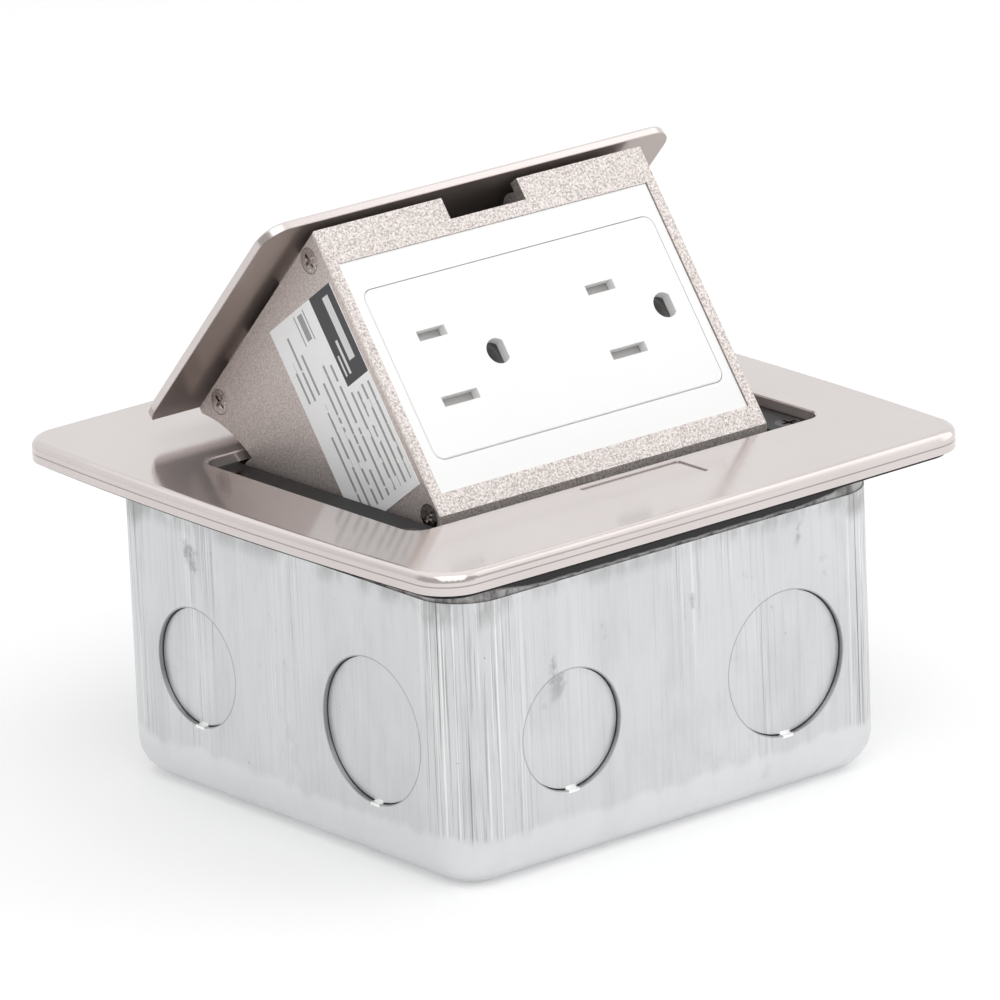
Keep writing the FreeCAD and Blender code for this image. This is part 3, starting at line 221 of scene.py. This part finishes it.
def blasted(paint, whole=True):
    """Bead-blasted, plated casting with a fine sparkle; unless whole, its sides behind the front edge get
    painted shade: a darker colour and less sparkle.
    """
    point, (_, y, z) = here(paint)
    grain = noise(point, 2400, 3, 0.75)
    fine = noise(point, 5200, 1)
    cloud = noise(point, 60, 2)
    colour = blend(rise(grain, 0.34, 0.62), (0.36, 0.32, 0.30), (0.78, 0.72, 0.695))
    side_shade = 0.0
    if not whole:
        # painted shade: the cheeks' sides behind the front edge are darker and sparkle less
        depth = (y - FACE_FOOT[0]) * FACE_UP[1] - (z - FACE_FOOT[1]) * FACE_UP[0]
        side_shade = rise(depth, 0.02 * MM, 0.15 * MM)
        side_shade_tone = blend(rise(grain, 0.30, 0.70), (0.49, 0.43, 0.405), (0.74, 0.665, 0.635))
        colour = blend(side_shade, colour, side_shade_tone)
    colour = blend(rise(fine, 0.60, 0.72) * (0.75 - side_shade * 0.35), colour, (0.93, 0.90, 0.88))
    return {"Base Color": colour, "Roughness": 0.42 + cloud * 0.1, "Normal": raised(grain, 0.00011, 0.8)}


def blasted_cheek(paint):
    """The cheeks' casting, with painted shade on its sides behind the front edge."""
    return blasted(paint, whole=False)


def along_wall(x, y):
    """The place along each of the box's four walls, from its middle, as its knockouts are set out."""
    front = abs(y) > abs(x)
    return (1 - front) * y * x.math("SIGN", x) - front * x * y.math("SIGN", y)


def knockout_gap_shade(x, y, z):
    """1 on the thin punched rim of each knockout, the ring where painted shade darkens its gap."""
    gap_shades = 0
    for offset, radius in KNOCKOUTS:
        across, up = along_wall(x, y) - offset, z - KNOCKOUT_Z
        reach = across.math("SQRT", across * across + up * up)
        gap_shades = gap_shades + within(reach, radius - 0.1 * MM, radius + 0.22 * MM)
    return gap_shades


def knockout_tabs(x, y, z):
    """1 on the bright bridge of metal at the foot of each knockout."""
    tabs = 0
    for offset, radius in KNOCKOUTS:
        across, up = along_wall(x, y) - offset, z - (KNOCKOUT_Z - radius)
        tabs = tabs + (abs(across) < 1.2 * MM) * within(up, -0.5 * MM, 0.6 * MM)
    return tabs


def drawn_zinc(paint):
    """Galvanised sheet drawn into a box: upright draw marks on a mottled ground, thickest at the corners."""
    point, (x, y, z) = here(paint)
    corner = rise(least(abs(x), abs(y)), 38 * MM, 42 * MM)
    wall = rise(most(abs(x), abs(y)), 46 * MM, 49 * MM)
    mottle = noise(point, 55, 4, 0.6)
    patch = noise(stretched(point, (1, 1, 0.35)), 130, 4, 0.65)
    draw = noise(stretched(point, (1, 1, 0.015)), 2000, 3, 0.7)
    score = noise(stretched(point, (1, 1, 0.004)), 1500, 3, 0.65)
    bright = noise(stretched(point, (1, 1, 0.006)), 1800, 2, 0.6)
    area = noise(stretched(point, (1, 1, 0.12)), 60, 2, 0.5)
    edge = z + (patch - 0.5) * 6 * MM
    upper = rise(edge, WALL_FOOT, WALL_START) * wall
    busy = most(corner, rise(area, 0.50, 0.68) * 0.7)
    marks = rise(draw, 0.52, 0.62) * upper * (0.18 + busy * 0.82)
    deep = rise(score, 0.62, 0.66) * upper * (0.10 + busy * 0.90)
    ground = blend(mottle, (0.60, 0.61, 0.62), (0.74, 0.75, 0.76))
    ground = blend(rise(patch, 0.40, 0.75) * 0.4, ground, (0.52, 0.525, 0.54))
    ground = blend(marks * 0.55, ground, (0.36, 0.36, 0.355))
    ground = blend(rise(bright, 0.55, 0.65) * upper * busy * 0.75, ground, (0.93, 0.93, 0.93))
    ground = blend(deep * 0.85, ground, (0.17, 0.165, 0.16))
    roll = rise(edge, WALL_START, WALL_FOOT)
    ground = blend(roll * 0.5, ground, (0.79, 0.795, 0.81))
    # painted shade with scuffs: the top of each wall, under the cover's overhang, patchily darker, reaching
    # lower and deeper at the corners
    rim_shade_and_scuff = rise(z + corner * 2 * MM, 49.5 * MM, 53 * MM) * wall * rise(patch, 0.35, 0.6)
    ground = blend(rim_shade_and_scuff * (0.4 + corner * 0.2), ground, (0.27, 0.265, 0.26))
    smudge = rise(noise(stretched(point, (1, 1, 0.7)), 110, 6, 0.7), 0.60, 0.72) * wall
    smudge = smudge * (0.12 + rise(z, 26 * MM, 38 * MM) * 0.55)
    ground = blend(smudge, ground, (0.26, 0.26, 0.265))
    pits = rise(noise(point, 700, 1), 0.80, 0.84)
    ground = blend(pits * 0.6, ground, (0.22, 0.215, 0.21))
    # painted shade: a thin dark ring in the gap round each knockout
    ground = blend(knockout_gap_shade(x, y, z) * wall * 0.55, ground, (0.25, 0.245, 0.24))
    ground = blend(knockout_tabs(x, y, z) * wall, ground, (0.95, 0.95, 0.95))
    rough = 0.30 + mottle * 0.18 + marks * 0.12
    height = draw * 0.6 * (0.3 + corner) + patch * 0.6 - deep * 0.8
    return {"Base Color": ground, "Roughness": rough, "Normal": raised(height, 0.00008, 0.7)}


def black_oxide(paint):
    """Blackened fixing screws, oily and a little worn."""
    point, _ = here(paint)
    wear = rise(noise(point, 900, 3), 0.58, 0.72)
    colour = blend(wear, (0.045, 0.043, 0.04), (0.20, 0.19, 0.18))
    return {"Base Color": colour, "Roughness": 0.24 + wear * 0.12}


def dull_nickel(paint):
    """Plated screws of the cheeks: darker than the plate round them, bright where the driver slips."""
    point, _ = here(paint)
    cloud = noise(point, 800, 3)
    slip = rise(noise(point, 1500, 2), 0.56, 0.66)
    colour = blend(cloud, (0.34, 0.30, 0.28), (0.56, 0.51, 0.48))
    return {"Base Color": blend(slip, colour, (0.88, 0.85, 0.83)), "Roughness": 0.2 + cloud * 0.1,
            "Normal": raised(cloud, 0.00006)}


def sheet_zinc(paint):
    """Plain zinc-plated strip and screws."""
    point, _ = here(paint)
    cloud = noise(point, 300, 3)
    scuff = noise(stretched(point, (1, 6, 1)), 700, 3)
    colour = blend(cloud, (0.58, 0.56, 0.54), (0.74, 0.72, 0.69))
    colour = blend(rise(scuff, 0.6, 0.75) * 0.4, colour, (0.42, 0.4, 0.38))
    return {"Base Color": colour, "Roughness": 0.28 + scuff * 0.15, "Normal": raised(scuff, 0.00001)}


def moulded(colour, shade, roughness, texture):
    """Moulded plastic: even colour, with a faint orange-peel skin."""
    def recipe(paint):
        point, _ = here(paint)
        skin = noise(point, texture, 2)
        cloud = noise(point, 40, 2)
        return {"Base Color": blend(cloud, colour, shade), "Roughness": roughness + skin * 0.06,
                "Normal": raised(skin, SKIN_DEPTH, 0.6)}
    return recipe


def collar_black(paint):
    """The inner frame's black moulding, its collar's foot painted grey along the box's rim as painted shade
    of that rim, patchy like scuffs, most at the corners.
    """
    point, (x, y, z) = here(paint)
    skin = noise(point, BLACK_SKIN, 2)
    patch = noise(stretched(point, (1, 1, 0.5)), 260, 4, 0.7)
    corner = rise(least(abs(x), abs(y)), 30 * MM, 44 * MM)
    plain_black_from = BOX_TOP + 1.3 * MM + corner * 1.5 * MM
    shade_and_scuff_to = BOX_TOP + 0.9 * MM + corner * 1.2 * MM
    # painted shade with scuffs: grey on the collar's foot stands in for the box's rim in shade, in patches
    rim_shade_and_scuff = rise(z + patch * 1.2 * MM, plain_black_from, shade_and_scuff_to)
    rim_shade_and_scuff = rim_shade_and_scuff * rise(most(abs(x), abs(y)), 45 * MM, 47 * MM)
    colour = blend(skin, (0.006, 0.006, 0.0065), (0.014, 0.014, 0.015))
    scuff = blend(rise(patch, 0.35, 0.6), (0.16, 0.155, 0.155), (0.62, 0.61, 0.60))
    colour = blend(rim_shade_and_scuff, colour, scuff)
    return {"Base Color": colour, "Roughness": 0.5 + skin * 0.06, "Normal": raised(skin, SKIN_DEPTH, 0.6)}


def foam(paint):
    """Closed-cell foam rubber: tiny dark cells."""
    point, _ = here(paint)
    cells = point.node("TexVoronoi", {"feature": "F1"}, {"Vector": point, "Scale": 1800})
    colour = blend(cells, (0.004, 0.004, 0.005), (0.03, 0.03, 0.032))
    return {"Base Color": colour, "Roughness": 0.8 + cells * 0.15, "Normal": raised(cells, 0.0001, 0.6)}


def wire_steel(paint):
    """Drawn spring wire: grey, slightly oiled."""
    point, _ = here(paint)
    streak = noise(point, 1500, 2)
    return {"Base Color": blend(streak, (0.30, 0.30, 0.31), (0.48, 0.48, 0.49)),
            "Roughness": 0.3 + streak * 0.1}


def rolled_brass(paint):
    point, _ = here(paint)
    cloud = noise(point, 250, 3)
    return {"Base Color": blend(cloud, (0.62, 0.43, 0.17), (0.80, 0.60, 0.27)),
            "Roughness": 0.28 + cloud * 0.15, "Normal": raised(cloud, 0.00002)}


def green_zinc(paint):
    point, _ = here(paint)
    cloud = noise(point, 400, 3)
    return {"Base Color": blend(cloud, (0.03, 0.17, 0.06), (0.06, 0.30, 0.11)),
            "Roughness": 0.35 + cloud * 0.1}


def label_film(paint):
    """Matt film with plain printed bars and one dark block, and no lettering."""
    point, (x, y, z) = here(paint)
    y, z = y - FACE_FOOT[0], z - FACE_FOOT[1]
    deep = y * FACE_UP[1] - z * FACE_UP[0]
    up = y * FACE_UP[0] + z * FACE_UP[1]
    fibre = noise(point, 900, 3)
    row = deep.math("FLOOR", deep / LABEL_ROW) * ROW_SHIFT
    breaks = noise(paint.node("CombineXYZ", {}, {"X": up, "Y": row}), 420, 1)
    word = rise(breaks, 0.36, 0.40)

    def bar(low, high, start, width):
        return within(up, low * MM, high * MM) * within(deep, start * MM, (start + width) * MM)

    block = bar(29.4, 46.7, 1.6, 7.3)
    white = bar(33.0, 45.2, 3.4, 1.9) + bar(31.0, 37.5, 6.2, 0.7) + bar(31.0, 35.0, 7.6, 0.5)
    ink = bar(40.6, 45.6, 12.6, 1.6) + bar(40.2, 46.0, 15.0, 0.3) + bar(40.2, 46.0, 11.8, 0.3)
    for low, high, start in LABEL_LINES:
        ink = ink + bar(low, high, start, LABEL_BAR) * word
    ground = blend(fibre, (0.92, 0.92, 0.93), (0.96, 0.96, 0.96))
    ground = blend(least(ink, 1) * 0.72, ground, (0.13, 0.13, 0.135))
    ground = blend(block, ground, (0.055, 0.055, 0.06))
    ground = blend(least(white, 1) * block, ground, (0.74, 0.74, 0.74))
    return {"Base Color": ground, "Roughness": 0.42 + fibre * 0.1, "Normal": raised(fibre, 0.00001)}


FINISHES = {
    "galvanised_steel": finish("galvanised_steel", drawn_zinc, metallic=1.0),
    "satin_nickel": finish("satin_nickel", satin_nickel, metallic=0.72),
    "cast_cheek": finish("cast_cheek", blasted_cheek, metallic=0.75),
    "cast_strip": finish("cast_strip", blasted, metallic=0.75),
    "white_plastic": finish("white_plastic",
                            moulded((0.88, 0.88, 0.88), (0.91, 0.91, 0.91), 0.32, WHITE_SKIN)),
    "grey_plastic": finish("grey_plastic",
                           moulded((0.42, 0.41, 0.40), (0.50, 0.49, 0.48), 0.4, WHITE_SKIN)),
    "black_foam": finish("black_foam", foam),
    "zinc_screw": finish("zinc_screw", sheet_zinc, metallic=1.0),
    "zinc_plate": finish("zinc_plate", sheet_zinc, metallic=1.0),
    "spring_steel": finish("spring_steel", wire_steel, metallic=1.0),
    "brass": finish("brass", rolled_brass, metallic=1.0),
    "green_screw": finish("green_screw", green_zinc, metallic=0.6),
    "label_film": finish("label_film", label_film),
    "lid_nickel": finish("lid_nickel", lid_nickel, metallic=0.8),
    "collar_black": finish("collar_black", collar_black),
    "black_oxide": finish("black_oxide", black_oxide, metallic=0.9),
    "dull_nickel": finish("dull_nickel", dull_nickel, metallic=1.0),
}
OWN_FINISH = {"lid": "lid_nickel", "support_frame": "collar_black", "fixing_screws": "black_oxide",
              "cheek_screws_left": "dull_nickel", "cheek_screws_right": "dull_nickel"}


def dress_nodes():
    """Give every CAD node its own finish, or else the finish of its material slot."""
    for part in frame["record"]["subparts"]:
        piece = nodes[part["node"]]
        piece.data.materials.clear()
        piece.data.materials.append(FINISHES[OWN_FINISH.get(part["node"], part["material_slot"])])


# ---------------------------------------------------------------- studio
def studio_white(paint):
    """A floor that shows the object's shadow, and is plain white away from it."""
    seen = most(paint.node("LightPath", output="Is Camera Ray"),
                paint.node("LightPath", output="Is Transmission Ray"))
    mirrored = paint.node("LightPath", output="Is Glossy Ray")
    glow = blend(most(seen, mirrored), (0, 0, 0), (1, 1, 1))
    return {"Base Color": (0.86, 0.86, 0.86, 1), "Roughness": 0.9,
            "Emission Color": glow, "Emission Strength": FLOOR_GLOW}


def lay_floor():
    bpy.ops.mesh.primitive_plane_add(size=FLOOR_SIZE, location=(0, 0, 0))
    floor = bpy.context.active_object
    floor.name = "studio_floor"
    floor.data.materials.append(finish("studio_white", studio_white))


def light_world():
    """Pale surroundings that show as white; mirrors see a white back and top, and a greyer front."""
    world = bpy.data.worlds.new("surroundings")
    bpy.context.scene.world = world
    world.use_nodes = True
    tree = world.node_tree
    tree.nodes.clear()
    paint = Wire(tree)
    way = paint.node("TexCoord", output="Generated")
    x, y, z = [paint.node("SeparateXYZ", {}, {"Vector": way}, axis) for axis in range(3)]
    side_shade = x * math.sin(CAMERA_AZIMUTH) + y * math.cos(CAMERA_AZIMUTH)
    white = most(rise(side_shade, -0.25, 0.25), rise(z, 0.55, 0.85))
    seen = most(paint.node("LightPath", output="Is Camera Ray"),
                paint.node("LightPath", output="Is Transmission Ray"))
    mirrored = paint.node("LightPath", output="Is Glossy Ray")
    shown = FRONT_LEVEL + white * (BACKDROP_LEVEL - FRONT_LEVEL)
    level = ROOM_LEVEL + mirrored * (shown - ROOM_LEVEL)
    level = level + seen * (BACKDROP_LEVEL - level)
    sky = paint.node("Background", {}, {"Color": (1, 1, 1, 1), "Strength": level})
    paint.node("OutputWorld", {}, {"Surface": sky})


def hang_lamp(name, place, size, power):
    """A square soft box that faces the object."""
    lamp = bpy.data.lights.new(name, "AREA")
    lamp.shape = "SQUARE"
    lamp.size = size
    lamp.energy = power
    hung = bpy.data.objects.new(name, lamp)
    bpy.context.scene.collection.objects.link(hung)
    hung.location = place
    hung.rotation_euler = (CAMERA_AIM - Vector(place)).to_track_quat("-Z", "Y").to_euler()


def set_camera():
    lens = bpy.data.cameras.new("camera")
    lens.lens = CAMERA_LENS
    lens.sensor_width = 36
    lens.shift_x = CAMERA_SHIFT_X
    lens.clip_end = 20
    across, height = math.cos(CAMERA_ELEVATION), math.sin(CAMERA_ELEVATION)
    back = Vector((-math.sin(CAMERA_AZIMUTH) * across, -math.cos(CAMERA_AZIMUTH) * across, height))
    level = Vector((0, 0, 1)).cross(back).normalized()
    upright = back.cross(level)
    right = level * math.cos(CAMERA_ROLL) + upright * math.sin(CAMERA_ROLL)
    up = upright * math.cos(CAMERA_ROLL) - level * math.sin(CAMERA_ROLL)
    place = CAMERA_AIM + back * CAMERA_DISTANCE + right * CAMERA_SLIDE[0] + up * CAMERA_SLIDE[1]
    stand = bpy.data.objects.new("camera", lens)
    bpy.context.scene.collection.objects.link(stand)
    turned = Matrix((right, up, back)).transposed().to_4x4()
    stand.matrix_world = Matrix.Translation(place) @ turned
    bpy.context.scene.camera = stand


dress_nodes()
lay_floor()
light_world()
for lamp_name, lamp_place, lamp_size, lamp_power in LAMPS:
    hang_lamp(lamp_name, lamp_place, lamp_size, lamp_power)
set_camera()
bpy.context.scene.view_settings.view_transform = "Standard"
